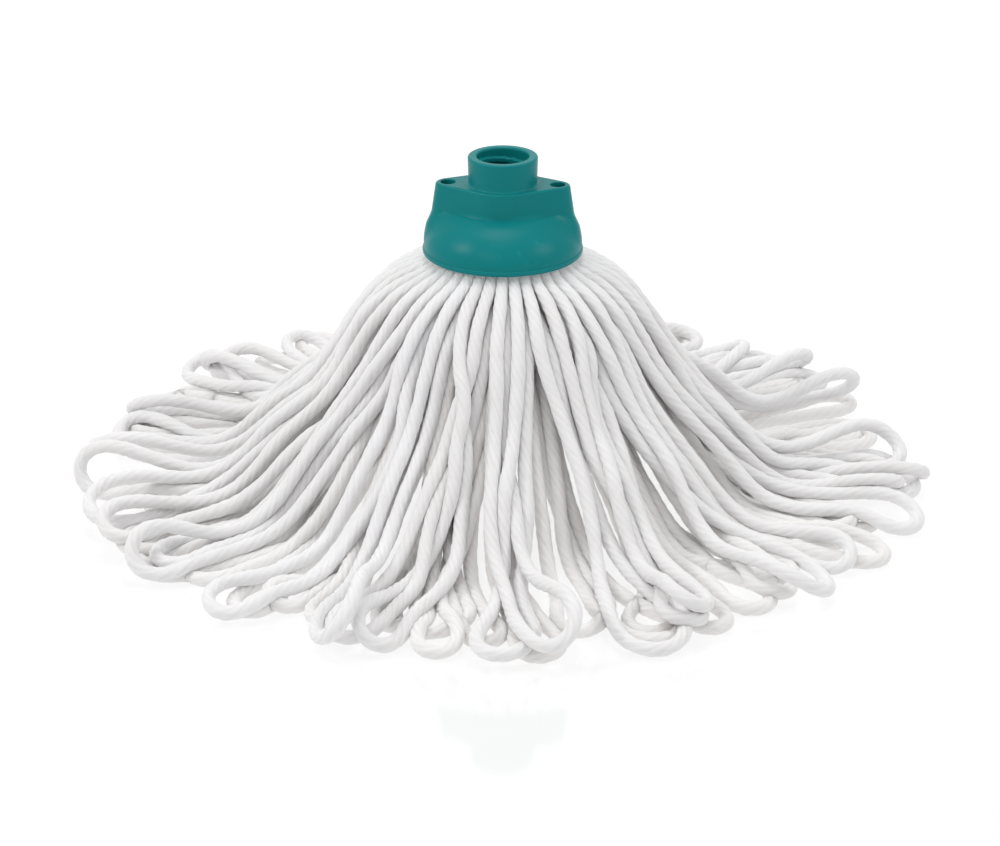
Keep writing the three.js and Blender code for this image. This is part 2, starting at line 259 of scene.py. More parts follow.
@dataclass(frozen=True)
class CottonYarn:
    """Soft plied cotton, patterned along the plies by two attributes, "lay" and the groove depth; its
    colour has painted shade in the ply grooves and in the gaps between singles.
    """

    name: str
    # light is the yarn's own colour; shade is painted shade for the ply grooves and the gaps between
    # singles, and also the darker end of the yarn's random tone
    light: tuple[float, float, float, float]
    shade: tuple[float, float, float, float]
    gloss: float = 0.2
    fuzz: float = 0.08
    see_through: float = 0.5
    see_through_depth: float = 0.004
    fibre_depth: float = 0.0006

    def material(self) -> bpy.types.Material:
        """The node material of this finish."""
        book = NodeBook(self.name)
        lay = book.node("ShaderNodeAttribute", {"attribute_name": "lay"}, {}, "Vector")
        groove_shade = book.node("ShaderNodeAttribute", {"attribute_name": "groove_shade"}, {}, "Fac")
        tone = book.node("ShaderNodeAttribute", {"attribute_name": "tone"}, {}, "Fac")
        singles = book.noise(book.stretched(lay, (1.0, 1.0, 0.07)), 1.15, 2.0)
        fibres = book.noise(book.stretched(lay, (1.0, 1.0, 0.16)), 4.2, 3.0, 0.6)
        patches = book.noise(book.stretched(lay, (0.2, 0.2, 0.05)), 1.0, 2.0)
        # painted shade: darker where the singles noise is low, in the gaps between the singles
        between = book.mapped(singles, 0.3, 0.55, 1.0, 0.0)
        # the mix towards the shade colour: painted shade in the ply grooves and the gaps between singles,
        # plus random tone from the loop's tone, patches and fibres
        shade_and_tone = 0.20 * groove_shade + 0.28 * between
        shade_and_tone = shade_and_tone + 0.25 * tone + 0.30 * patches + 0.25 * fibres - 0.2
        height = 0.5 * singles + 0.5 * fibres
        return book.surface({
            "Base Color": book.mixed(shade_and_tone.clamped(), self.light, self.shade),
            "Roughness": 0.86 + 0.1 * fibres,
            "Subsurface Weight": self.see_through,
            "Subsurface Radius": (1.0, 1.0, 1.0),
            "Subsurface Scale": self.see_through_depth,
            "Sheen Weight": self.fuzz,
            "Sheen Roughness": 0.6,
            "Specular IOR Level": self.gloss,
            "Normal": book.bump(height, 0.6, self.fibre_depth),
        })


@dataclass(frozen=True)
class StudioFloor:
    """A pale glossy sweep that glows a little, so that it stays white under the object."""

    name: str = "studio_floor"
    grey: float = 0.17
    roughness: float = 0.07
    glow: float = 0.765

    def material(self) -> bpy.types.Material:
        """The node material of this finish."""
        book = NodeBook(self.name)
        return book.surface({
            "Base Color": (self.grey, self.grey, self.grey, 1.0),
            "Roughness": self.roughness,
            "Emission Color": (1.0, 1.0, 1.0, 1.0),
            "Emission Strength": self.glow,
        })


@dataclass(frozen=True)
class StudioPanel:
    """An even glow, for the tall panel that stands behind the object."""

    name: str = "studio_panel"
    glow: float = 1.0

    def material(self) -> bpy.types.Material:
        """The node material of this finish."""
        book = NodeBook(self.name)
        return book.surface({
            "Base Color": (0.0, 0.0, 0.0, 1.0),
            "Specular IOR Level": 0.0,
            "Emission Color": (1.0, 1.0, 1.0, 1.0),
            "Emission Strength": self.glow,
        })


class Finish(Enum):
    """The finishes that the pieces wear, with the record's slot that each belongs to."""

    CAP = "cap_plastic", SatinPlastic("teal_plastic", linear(5, 120, 122), linear(46, 153, 153))
    BAR = "bar_plastic", SatinPlastic("natural_plastic", linear(214, 214, 206), linear(236, 236, 232))
    SCREW = "screw_steel", ZincSteel()
    # Each yarn's second colour is painted shade for its ply grooves and gaps, and the darker end of its
    # random tone.
    YARN = "cotton_yarn", CottonYarn("plied_cotton", linear(238, 238, 240), linear(223, 220, 217))
    # The inner yarn's colours are a little warmer and its shade a little darker: painted warm shade for the
    # gaps where it shows between the outer loops.
    INNER = "inner_yarn", CottonYarn("inner_plied_cotton", linear(239, 238, 238), linear(222, 218, 214))
    FLOOR = None, StudioFloor()
    PANEL = None, StudioPanel()

    def dress(self, piece: bpy.types.Object) -> None:
        """Puts the finish, whose material is made once, on a piece."""
        slot, finish = self.value
        piece.data.materials.clear()
        piece.data.materials.append(bpy.data.materials.get(finish.name) or finish.material())


# ---------------------------------------------------------------- mesh helpers


def grid_quads(rows: int, columns: int) -> np.ndarray:
    """The quads of a grid whose columns close on themselves, as (n, 4) vertex numbers."""
    row, column = np.meshgrid(np.arange(rows - 1), np.arange(columns), indexing="ij")
    after = (column + 1) % columns
    here, above = row * columns, (row + 1) * columns
    return np.stack([here + column, here + after, above + after, above + column], -1).reshape(-1, 4)


def fan(centre: int, ring: np.ndarray) -> np.ndarray:
    """The triangles from a centre vertex to a closed ring of vertices."""
    return np.stack([np.full(len(ring), centre), ring, np.roll(ring, -1)], -1)


def closed_grid(points: np.ndarray) -> tuple[np.ndarray, np.ndarray, np.ndarray]:
    """Closes a grid of rings into a skin with a pole at each end.

    Args:
        points: (rows, columns, 3), each row a ring.

    Returns:
        The points with the two poles added, the quads and the triangles.
    """
    rows, columns, _ = points.shape
    flat = np.vstack([points.reshape(-1, 3), points[0].mean(0), points[-1].mean(0)])
    last = rows * columns
    first_fan = fan(last, np.arange(columns)[::-1])
    end_fan = fan(last + 1, np.arange(last - columns, last))
    return flat, grid_quads(rows, columns), np.vstack([first_fan, end_fan])


def put_mesh(name: str, points: np.ndarray, quads: np.ndarray, triangles: np.ndarray,
             attributes: dict[str, np.ndarray] | None = None) -> bpy.types.Object:
    """Makes an object from points in millimetres, smooth shaded.

    Args:
        name: The object's name.
        points: (n, 3).
        quads: (n, 4) vertex numbers.
        triangles: (n, 3) vertex numbers.
        attributes: Numbers (n,) or vectors (n, 3) to keep at the vertices, by name.

    Returns:
        The object, linked to the scene.
    """
    mesh = bpy.data.meshes.new(name)
    corners = np.concatenate([quads.ravel(), triangles.ravel()]).astype(np.int32)
    sizes = np.concatenate([np.full(len(quads), 4), np.full(len(triangles), 3)])
    starts = np.concatenate([[0], np.cumsum(sizes)[:-1]]).astype(np.int32)
    mesh.vertices.add(len(points))
    mesh.vertices.foreach_set("co", (points * MM).astype(np.float32).ravel())
    mesh.loops.add(len(corners))
    mesh.loops.foreach_set("vertex_index", corners)
    mesh.polygons.add(len(sizes))
    mesh.polygons.foreach_set("loop_start", starts)
    for key, values in (attributes or {}).items():
        kind, part = ("FLOAT_VECTOR", "vector") if values.ndim == 2 else ("FLOAT", "value")
        made = mesh.attributes.new(key, kind, "POINT")
        made.data.foreach_set(part, values.astype(np.float32).ravel())
    mesh.update(calc_edges=True)
    mesh.validate()
    mesh.shade_smooth()
    piece = bpy.data.objects.new(name, mesh)
    bpy.context.scene.collection.objects.link(piece)
    return piece


def arc(centre: tuple[float, float], radius: float, start: float, end: float, count: int) -> np.ndarray:
    """Points (count, 2) on a circle's arc, from angle start to angle end in degrees."""
    angle = np.radians(np.linspace(start, end, count))
    return np.stack([centre[0] + radius * np.cos(angle), centre[1] + radius * np.sin(angle)], -1)


def line(start: tuple[float, float], end: tuple[float, float], count: int) -> np.ndarray:
    """Points (count, 2) along a straight line, both ends included."""
    share = np.linspace(0, 1, count)[:, None]
    return np.array(start) * (1 - share) + np.array(end) * share


def smooth_step(value: np.ndarray, low: float, high: float) -> np.ndarray:
    """0 below low, 1 above high, and an S curve between."""
    share = np.clip((value - low) / (high - low), 0, 1)
    return share * share * (3 - 2 * share)


def smooth_max(first: np.ndarray, second: np.ndarray, blend: np.ndarray) -> np.ndarray:
    """The larger of two numbers, with a fillet where they are less than blend apart."""
    near = np.clip(blend - np.abs(first - second), 0, None) / blend
    return np.maximum(first, second) + near**2 * blend / 4


def turned(name: str, profile: np.ndarray, x: float, base: float) -> bpy.types.Object:
    """A profile of (radius, height) points turned about the upright line at x, closed at both ends."""
    angle = full_turn(48)
    radius, height = profile[:, :1], base + profile[:, 1:]
    ring = np.broadcast_arrays(x + radius * np.cos(angle), radius * np.sin(angle), height)
    return put_mesh(name, *closed_grid(np.stack(ring, -1)))


def full_turn(columns: int) -> np.ndarray:
    """Even angles round a circle, in radians."""
    return np.linspace(0, 2 * np.pi, columns, endpoint=False)


# ---------------------------------------------------------------- cap


@dataclass
class SocketCap:
    """The cap: a bell with a bead lip, an ear block with two holes, and a threaded collar."""

    lip_proud: float = 0.6
    lip_height: float = 2.3
    wall: float = 2.4
    bell_top: float = 19.0
    bell_fullness: float = 1.7
    boss_radius: float = 16.5
    plate_height: float = 30.4
    ear_radius: float = 5.3
    front_draft: float = 0.055
    ear_draft: float = 0.15
    front_fillet: float = 1.6
    ear_fillet: float = 9.5
    fillet_foot: float = 12.0
    crown_slope: float = 1.5
    plate_round: float = 1.1
    collar_radius: float = 15.0
    collar_flare: float = 0.25
    collar_fillet: float = 1.3
    mouth_round: float = 0.9
    foot_round: float = 0.6
    lip_round: float = 0.9
    bead_round: float = 0.7
    bore_radius: float = 11.2
    bore_floor: float = 16.0
    floor_thickness: float = 2.5
    thread_pitch: float = 5.0
    thread_rise: float = 1.4
    thread_start: float = 1.6
    thread_turns: float = 4.0
    thread_half: float = 1.3
    thread_flank: float = 0.55
    thread_fade: float = 0.12
    ceiling_margin: float = 4.5
    ear_hole_radius: float = 3.2
    hole_round: float = 0.5
    screw_hole_radius: float = 1.7
    post_radius: float = 4.2
    post_end: float = 9.3
    columns: int = 240
    rim: float = field(init=False)
    height: float = field(init=False)
    skirt_radius: float = field(init=False)
    ear_span: float = field(init=False)

    def __post_init__(self) -> None:
        """Takes the overall sizes from the frame."""
        low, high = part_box("socket_cap")
        self.rim = low.z / MM
        self.height = (high.z - low.z) / MM
        self.skirt_radius = high.x / MM - self.lip_proud
        screw_low, screw_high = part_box("bar_screw_right")
        self.ear_span = (screw_low.x + screw_high.x) / 2 / MM

    def bell(self, foot: tuple[float, float], top: tuple[float, float], count: int) -> np.ndarray:
        """The bell's superellipse quarter as (radius, height) points, from its foot up to its top."""
        angle = np.linspace(0, np.pi / 2, count)
        power = 2 / self.bell_fullness
        radius = top[0] + (foot[0] - top[0]) * np.cos(angle) ** power
        return np.stack([radius, foot[1] + (top[1] - foot[1]) * np.sin(angle) ** power], -1)

    def block_radius(self, angle: np.ndarray) -> np.ndarray:
        """How far the ear block's outline is from the axis: the hull of the boss and both ears."""
        slant = math.acos((self.boss_radius - self.ear_radius) / self.ear_span)
        around = np.abs((angle + np.pi / 2) % np.pi - np.pi / 2)
        flat = self.boss_radius / np.cos(np.clip(around - slant, -np.pi / 2 + 0.01, 0))
        across = np.clip(self.ear_span * np.sin(around), 0, self.ear_radius)
        ear = self.ear_span * np.cos(around) + np.sqrt(self.ear_radius**2 - across**2)
        on_ear = around < math.atan2(
            self.ear_radius * math.sin(slant), self.ear_span + self.ear_radius * math.cos(slant))
        return np.where(around >= slant, self.boss_radius, np.where(on_ear, ear, flat))

    def thread(self, angle: np.ndarray, height: np.ndarray) -> np.ndarray:
        """How far the right-handed ridge stands into the bore at each angle and height."""
        below = self.height - self.thread_start - height
        turn = -angle / (2 * np.pi)
        along = np.round(below / self.thread_pitch - turn) + turn
        gap = np.abs(below - along * self.thread_pitch)
        crest = np.clip((self.thread_half - gap) / self.thread_flank, 0, 1)
        last, fade = self.thread_turns, self.thread_fade
        inside = smooth_step(along, 0.0, fade) * (1 - smooth_step(along, last - fade, last))
        return self.thread_rise * crest * crest * (3 - 2 * crest) * inside

    def outside_rows(self, angle: np.ndarray) -> list[np.ndarray]:
        """The walls from the bell up over the plate's edge, each row as (radius, height) at each angle."""
        block = self.block_radius(angle)
        lean = np.abs(np.cos(angle))
        fillet = self.front_fillet + (self.ear_fillet - self.front_fillet) * lean**1.2
        draft = self.front_draft + (self.ear_draft - self.front_draft) * lean**2
        foot, top = (self.skirt_radius, self.lip_height + 0.5), (self.boss_radius, self.bell_top)
        profile = self.bell(foot, top, 64)
        above = self.plate_height - self.plate_round
        heights = np.linspace(self.bell_top + 0.4, above, 22)
        falling = self.boss_radius - self.crown_slope * (heights - self.bell_top)
        profile = np.vstack([profile, np.stack([falling, heights], -1)])
        rows = []
        for radius, height in profile:
            wall = block + draft * (self.plate_height - height)
            blend = fillet * np.clip(height / self.fillet_foot, 0, 1) + 0.01
            rows.append((smooth_max(radius, wall, blend), height))
        for turn in np.radians(np.linspace(15, 90, 6)):
            inset = self.plate_round * (1 - math.cos(turn))
            height = above + self.plate_round * math.sin(turn)
            rows.append((block - inset + draft * self.plate_round, height))
        edge = rows[-1][0]
        collar = self.collar_radius - self.collar_flare + self.collar_fillet
        for share in np.linspace(0.2, 1, 5):
            rows.append((edge + (np.minimum(collar, edge - 0.1) - edge) * share, self.plate_height))
        return [np.stack([radius, np.full_like(angle, height)], -1) for radius, height in rows]

    def collar_profile(self) -> np.ndarray:
        """The collar from its fillet on the plate up and over to the bore's mouth."""
        base = self.collar_radius - self.collar_flare
        soft = self.mouth_round
        foot = self.plate_height + self.collar_fillet
        top = self.height
        return np.vstack([
            arc((base + self.collar_fillet, foot), self.collar_fillet, 255, 180, 6),
            line((base, foot + 1), (self.collar_radius, top - soft), 8),
            arc((self.collar_radius - soft, top - soft), soft, 12, 90, 6),
            line((self.collar_radius - soft - 0.4, top), (self.bore_radius + soft + 0.2, top), 3),
            arc((self.bore_radius + soft, top - soft), soft, 90, 180, 6),
        ])

    def shell(self) -> bpy.types.Object:
        """The moulding without its holes: one skin from the chamber's ceiling out, up and into the bore.

        Returns:
            The skin: a ring of vertices at each height, whose radius is a formula in the angle.
        """
        angle = full_turn(self.columns)
        mouth = self.skirt_radius - self.wall
        ceiling = self.bore_floor - self.floor_thickness
        crown = self.boss_radius + self.ceiling_margin
        skirt, lip_top = self.skirt_radius, self.lip_height
        lip = skirt + self.lip_proud
        foot, under, bead = self.foot_round, self.lip_round, self.bead_round
        inside = np.vstack([
            line((2, ceiling), (crown, ceiling), 8),
            self.bell((mouth, foot), (crown, ceiling), 16)[::-1][1:],
            arc((mouth + foot, foot), foot, 200, 270, 5),
            line((mouth + 1.0, 0), (lip - 1.1, 0), 3),
            arc((lip - under, under), under, 280, 360, 6),
            arc((lip - bead, lip_top - bead), bead, 0, 80, 6),
            [(skirt + 0.12, lip_top + 0.03), (skirt, lip_top + 0.3)],
        ])
        bore_top = self.height - self.mouth_round
        bore = line((self.bore_radius, bore_top - 0.3), (self.bore_radius, self.bore_floor + foot), 84)
        floor = np.vstack([
            arc((self.bore_radius - foot, self.bore_floor + foot), foot, 0, -90, 5)[1:],
            line((self.bore_radius - 2, self.bore_floor), (1.5, self.bore_floor), 6),
        ])
        levels = [np.full_like(angle, height) for _, height in bore]
        threaded = [np.stack([self.bore_radius - self.thread(angle, level), level], -1) for level in levels]
        inside, collar, floor = (
            [np.broadcast_to(point, (self.columns, 2)) for point in part]
            for part in (inside, self.collar_profile(), floor))
        grid = np.stack([*inside, *self.outside_rows(angle), *collar, *threaded, *floor])
        radius, height = grid[..., 0], grid[..., 1] + self.rim
        ring = np.stack([radius * np.cos(angle), radius * np.sin(angle), height], -1)
        return put_mesh("cap_moulding", *closed_grid(ring))

    def ear_cutter(self, x: float) -> bpy.types.Object:
        """What one ear loses: a counterbore with a softened mouth, and the screw's hole below it."""
        soft, wide, narrow = self.hole_round, self.ear_hole_radius, self.screw_hole_radius
        low, seat, top = self.post_end - 2, self.bore_floor, self.plate_height
        profile = np.vstack([
            [(0.3, low), (narrow, low), (narrow, seat)],
            [(wide, seat + 0.1), (wide - 0.1, seat)],
            arc((wide + soft, top - soft), soft, 180, 92, 6),
            [(wide + soft, top + 1), (0.3, top + 1)],
        ])
        return turned("ear_cutter", profile, x, self.rim)

    def post(self, x: float) -> bpy.types.Object:
        """A post under an ear, which the yarn bar is pulled up to."""
        ceiling = self.bore_floor - self.floor_thickness
        wide, end = self.post_radius, self.post_end
        profile = np.array([(wide - 0.3, end), (wide, end + 0.3), (wide, ceiling + 1), (0.5, ceiling + 1)])
        return turned("ear_post", profile, x, self.rim)

    def build(self) -> bpy.types.Object:
        """Makes and dresses the moulding.

        Returns:
            The cap, which stands for the frame's socket_cap.
        """
        cap = self.shell()
        for x in (-self.ear_span, self.ear_span):
            for tool, operation in ((self.post(x), "UNION"), (self.ear_cutter(x), "DIFFERENCE")):
                cut = cap.modifiers.new(tool.name, "BOOLEAN")
                cut.object, cut.operation, cut.solver = tool, operation, "EXACT"
                apply_modifiers(cap)
                bpy.data.objects.remove(tool)
        cap.data.set_sharp_from_angle(angle=math.radians(38))
        Finish.CAP.dress(cap)
        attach(cap, "head")
        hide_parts("socket_cap")
        return cap


def apply_modifiers(piece: bpy.types.Object) -> None:
    """Bakes a piece's modifiers into its mesh."""
    seen = piece.evaluated_get(bpy.context.evaluated_depsgraph_get())
    made = bpy.data.meshes.new_from_object(seen)
    piece.modifiers.clear()
    piece.data = made


# ---------------------------------------------------------------- yarn

# The route of a loop's runs, as the frame has it: [out from the mouth's wall, below the rim, side
# spread in degrees] near the cap, then [out from the mouth's wall, above the floor], in metres.
FRONT_RUN = (
    (-0.0032, -0.0018, 0.0), (-0.0031, 0.0007, 0.0), (-0.0008, 0.0034, 0.3),
    (0.0065, 0.0062, 2.2), (0.0145, 0.0106, 3.2), (0.0260, 0.0225, 3.75),
)
BACK_RUN = (
    (-0.0090, -0.0018, 0.0), (-0.0090, 0.0016, 0.0), (-0.0062, 0.0064, 0.3),
    (0.0030, 0.0112, 2.2), (0.0110, 0.0149, 3.2), (0.0260, 0.0225, 3.75),
)
DRAPE = (
    (0.0340, 0.0705), (0.0420, 0.0585), (0.0505, 0.0475), (0.0600, 0.0370), (0.0705, 0.0270),
    (0.0820, 0.0180), (0.0945, 0.0115), (0.1075, 0.0072), (0.1195, 0.0048), (0.1314, 0.0033),
    (0.1454, 0.0031), (0.1700, 0.0031), (0.2100, 0.0031),
)


def cell_pairs(points: np.ndarray, reach: float) -> tuple[np.ndarray, np.ndarray]:
    """Every pair of points that may be within reach, found by sorting them into cubes of that size.

    Args:
        points: (n, 3).
        reach: The cubes' size.

    Returns:
        Two arrays of point numbers, one pair at each place.
    """
    cell = np.floor(points / reach).astype(np.int64)
    cell -= cell.min(0) - 1
    size = cell.max(0) + 2
    key = (cell[:, 0] * size[1] + cell[:, 1]) * size[2] + cell[:, 2]
    order = np.argsort(key, kind="stable")
    sorted_key = key[order]
    firsts, seconds = [], []
    steps = [(x, y, z) for x in (0, 1) for y in (-1, 0, 1) for z in (-1, 0, 1) if (x, y, z) >= (0, 0, 0)]
    for x, y, z in steps:
        wanted = key + (x * size[1] + y) * size[2] + z
        start = np.searchsorted(sorted_key, wanted, "left")
        count = np.searchsorted(sorted_key, wanted, "right") - start
        first = np.repeat(np.arange(len(points)), count)
        offset = np.arange(count.sum()) - np.repeat(np.cumsum(count) - count, count)
        second = order[np.repeat(start, count) + offset]
        if (x, y, z) == (0, 0, 0):
            keep = first < second
            first, second = first[keep], second[keep]
        firsts.append(first)
        seconds.append(second)
    return np.concatenate(firsts), np.concatenate(seconds)


def spline(points: np.ndarray, count: int) -> np.ndarray:
    """Catmull-Rom curves through (lines, points, 3), each read off at count even steps."""
    before_first = 2 * points[:, :1] - points[:, 1:2]
    after_last = 2 * points[:, -1:] - points[:, -2:-1]
    padded = np.concatenate([before_first, points, after_last], 1)
    place = np.linspace(0, points.shape[1] - 1, count)
    before = np.minimum(place.astype(int), points.shape[1] - 2)
    t = (place - before)[None, :, None]
    a, b, c, d = (padded[:, before + k] for k in range(4))
    return 0.5 * (2 * b + (c - a) * t + (2 * a - 5 * b + 4 * c - d) * t**2
                  + (3 * b - a - 3 * c + d) * t**3)


@dataclass
class YarnHank:
    """The hank: outer loops that show, and inner ones that fill the skirt under them.

    A pair named *_over is the span, along a run from its end in the cap, over which a thing sets in.
    """

    # how many loops there are, and how long they are
    diameter: float = 5.5
    fluff: float = 1.07
    loop_lengths: tuple[float, float] = (396.0, 428.0)
    inner_lengths: tuple[float, float] = (380.0, 424.0)
    tufts: int = 8
    loops_per_tuft: int = 5
    inner_loops: int = 56
    inner_groups: int = 8
    # how they lie before they settle
    seed: int = 12
    nodes: int = 84
    turn_half_width: float = 11.5
    outer_turns: tuple[float, float] = (0.82, 1.2)
    inner_turns: tuple[float, float] = (0.6, 0.9)
    turn_starts: tuple[float, float] = (90.0, 165.0)
    turn_full: float = 195.0
    run_gap: float = 3.4
    part_over: tuple[float, float] = (0.0, 40.0)
    back_inset: float = 3.6
    inset_over: tuple[float, float] = (18.0, 45.0)
    inset_ends_over: tuple[float, float] = (85.0, 150.0)
    inner_depths: tuple[float, float] = (3.5, 12.0)
    inner_over: tuple[float, float] = (0.0, 55.0)
    inner_shift: float = 4.0
    neck_radius: float = 20.5
    neck_half_gap: float = 1.4
    neck_flare: float = 0.35
    sway: float = 9.0
    sway_over: tuple[float, float] = (25.0, 170.0)
    ripple: float = 3.4
    ripple_length: float = 36.0
    ripple_over: tuple[float, float] = (15.0, 70.0)
    curl: float = 30.0
    curl_over: tuple[float, float] = (95.0, 225.0)
    gathers: tuple[tuple[float, int, float], ...] = ((6.0, 13, 1.0), (5.0, 8, 4.0))
    gather_over: tuple[float, float] = (35.0, 150.0)
    outer_pile: tuple[float, float] = (10.0, 3.0)
    inner_pile: tuple[float, float] = (6.0, 0.0)
    pile_over: tuple[float, float] = (75.0, 125.0)
    tilt: float = 60.0
    # how they settle
    rounds: int = 260
    ends_held: int = 2
    search: float = 1.25
    neck_hold: float = 0.06
    neck_hold_over: tuple[float, float] = (60.0, 140.0)
    hold: float = 0.004
    tip_hold: float = 0.01
    tip_hold_over: tuple[float, float] = (140.0, 190.0)
    fall: float = 0.09
    fall_over: tuple[float, float] = (70.0, 120.0)
    evenness: float = 0.55
    bend_span: int = 4
    run_bend: float = 0.985
    tip_bend: float = 0.19
    tip_over: tuple[float, float] = (150.0, 185.0)
    bend_share: float = 0.3
    push_share: float = 1.4
    lift: float = 0.1
    rim_gap: float = 0.3
    ironing: int = 6
    ironing_share: float = 0.6
    # how the yarn looks
    pressed: float = 0.84
    pressed_look: float = 0.92
    pressed_over: tuple[float, float] = (8.0, 45.0)
    plies: int = 6
    sides_per_ply: int = 4
    ply_pitch: float = 34.0
    ply_core: float = 0.93
    ply_depth: float = 0.09
    roughness: float = 0.018
    slub: float = 0.03
    slub_waves: tuple[float, ...] = (17.0, 41.0, 67.0)
    ring_step: float = 1.8
    # where a loop passes from the cap to its tuft: out from the mouth's wall, above the rim
    blend_start: tuple[float, float] = (-5.0, 1.0)
    blend_end: tuple[float, float] = (17.0, -21.0)
    mouth: float = field(init=False)
    rim: float = field(init=False)
    edge: float = field(init=False)

    def __post_init__(self) -> None:
        """Takes the mouth and the reach of the skirt from the frame."""
        cap = SocketCap()
        self.mouth = cap.skirt_radius - cap.wall
        self.rim = cap.rim
        self.edge = CAD_BOX[1][0] / MM

    @property
    def outer_loops(self) -> int:
        """How many loops show."""
        return self.tufts * self.loops_per_tuft

    def run_profile(self, start: tuple, under: float) -> tuple[np.ndarray, np.ndarray]:
        """A run's line seen from the side, smoothed.

        Args:
            start: The stations near the cap.
            under: How far it lies inside the outermost layer half way down.

        Returns:
            The distance along the run, and (radius, height) there.
        """
        near = [(self.mouth + out / MM, self.rim - below / MM) for out, below, _ in start]
        far = [(self.mouth + out / MM, above / MM) for out, above in DRAPE]
        fine = spline(np.array([near + far]), 400)[0]
        along = np.concatenate([[0], np.cumsum(np.linalg.norm(np.diff(fine, axis=0), axis=1))])
        way = np.gradient(fine, axis=0)
        way /= np.linalg.norm(way, axis=1, keepdims=True)
        depth = under * smooth_step(along, *self.inset_over)
        depth = depth * (1 - smooth_step(along, *self.inset_ends_over))
        inwards = np.stack([way[:, 1], -way[:, 0]], -1)
        return along, fine + depth[:, None] * inwards

    def shape_loops(self, length: np.ndarray, draws: np.random.Generator, inner: bool) -> np.ndarray:
        """Lays loops out along the route, before they settle.

        A loop's two runs start side by side at the mouth and part into its U-turn, a half circle of
        turn_half_width. Its middle sways, ripples, curls and gathers with its neighbours on the way out.

        Args:
            length: Each loop's length.
            draws: The source of their variety.
            inner: Whether they lie under the outer loops.

        Returns:
            Their lines, (count, nodes, 3).
        """
        count = len(length)
        share = np.linspace(-1, 1, self.nodes)[None, :]
        side = np.sign(share + 1e-9)
        from_end = (1 - np.abs(share)) * length[:, None] / 2
        turns, pile = (self.inner_turns, self.inner_pile) if inner else (self.outer_turns, self.outer_pile)
        half = self.turn_half_width * draws.uniform(*turns, (count, 1))
        run_end = length[:, None] / 2 - half * np.pi / 2
        bend = np.clip((from_end - run_end) / half, 0, np.pi / 2)
        along = np.minimum(from_end, run_end) + half * np.sin(bend)
        across = half * np.cos(bend)
        front_along, front = self.run_profile(FRONT_RUN, 0.0)
        back_along, back = self.run_profile(BACK_RUN, self.back_inset)
        radius, height = (
            np.where(side < 0, np.interp(along, front_along, near), np.interp(along, back_along, far))
            for near, far in zip(front.T, back.T))
        pitch = 360 / count
        middle = (np.arange(count)[:, None] + 0.5) * pitch
        spread = np.radians(pitch / 4) * smooth_step(along, *self.part_over)
        width = smooth_step(along, draws.uniform(*self.turn_starts, (count, 1)), self.turn_full)
        lateral = side * ((1 - width) * np.minimum(radius * spread, self.run_gap) + width * across)
        if inner:
            depth = draws.uniform(*self.inner_depths, (count, 1))
            ring = np.sqrt((np.arange(count)[:, None] * 7 % count + 0.6) / count)
            anchor = self.neck_radius * ring + self.neck_half_gap * side
            fill = smooth_step(along, *self.inner_over)
            radius = (1 - fill) * (anchor + self.neck_flare * along) + fill * (radius - depth * 0.8)
            height = height - fill * depth * 0.6
            middle = middle + draws.uniform(-self.inner_shift, self.inner_shift, (count, 1))
        wander = draws.normal(0, 1, (count, 4, 1))
        run_wave = np.where(side < 0, wander[:, 0], wander[:, 1])
        lateral = lateral + self.sway * wander[:, 2] * smooth_step(along, *self.sway_over)
        wave = np.sin(along / self.ripple_length + 3 * run_wave)
        lateral = lateral + self.ripple * run_wave * wave * smooth_step(along, *self.ripple_over)
        curl = draws.uniform(-1, 1, (count, 1)) * self.curl
        lateral = lateral + curl * smooth_step(along, *self.curl_over) ** 2
        around = np.radians(middle)
        gather = sum(size * np.sin(times * around + phase) for size, times, phase in self.gathers)
        lateral = lateral + gather * smooth_step(along, *self.gather_over)
        layer = draws.uniform(0, 1, (count, 1)) * pile[0] + pile[1]
        height = height + layer * smooth_step(along, *self.pile_over)
        tilt = np.radians(draws.uniform(-self.tilt, self.tilt, (count, 1))) * (not inner)
        height = height + np.abs(across * np.sin(tilt)) * width + side * across * np.sin(tilt) * width
        lateral = lateral - side * width * across * (1 - np.cos(tilt))
        angle = np.radians(middle) + lateral / np.maximum(radius, 12)
        height = np.maximum(height, self.diameter / 2)
        return np.stack([radius * np.cos(angle), radius * np.sin(angle), height], -1)

    def girth(self, from_end: np.ndarray, pressed: float) -> np.ndarray:
        """The yarn's radius along a loop, which is pressed thinner in the cap's mouth."""
        return self.diameter / 2 * (pressed + (1 - pressed) * smooth_step(from_end, *self.pressed_over))

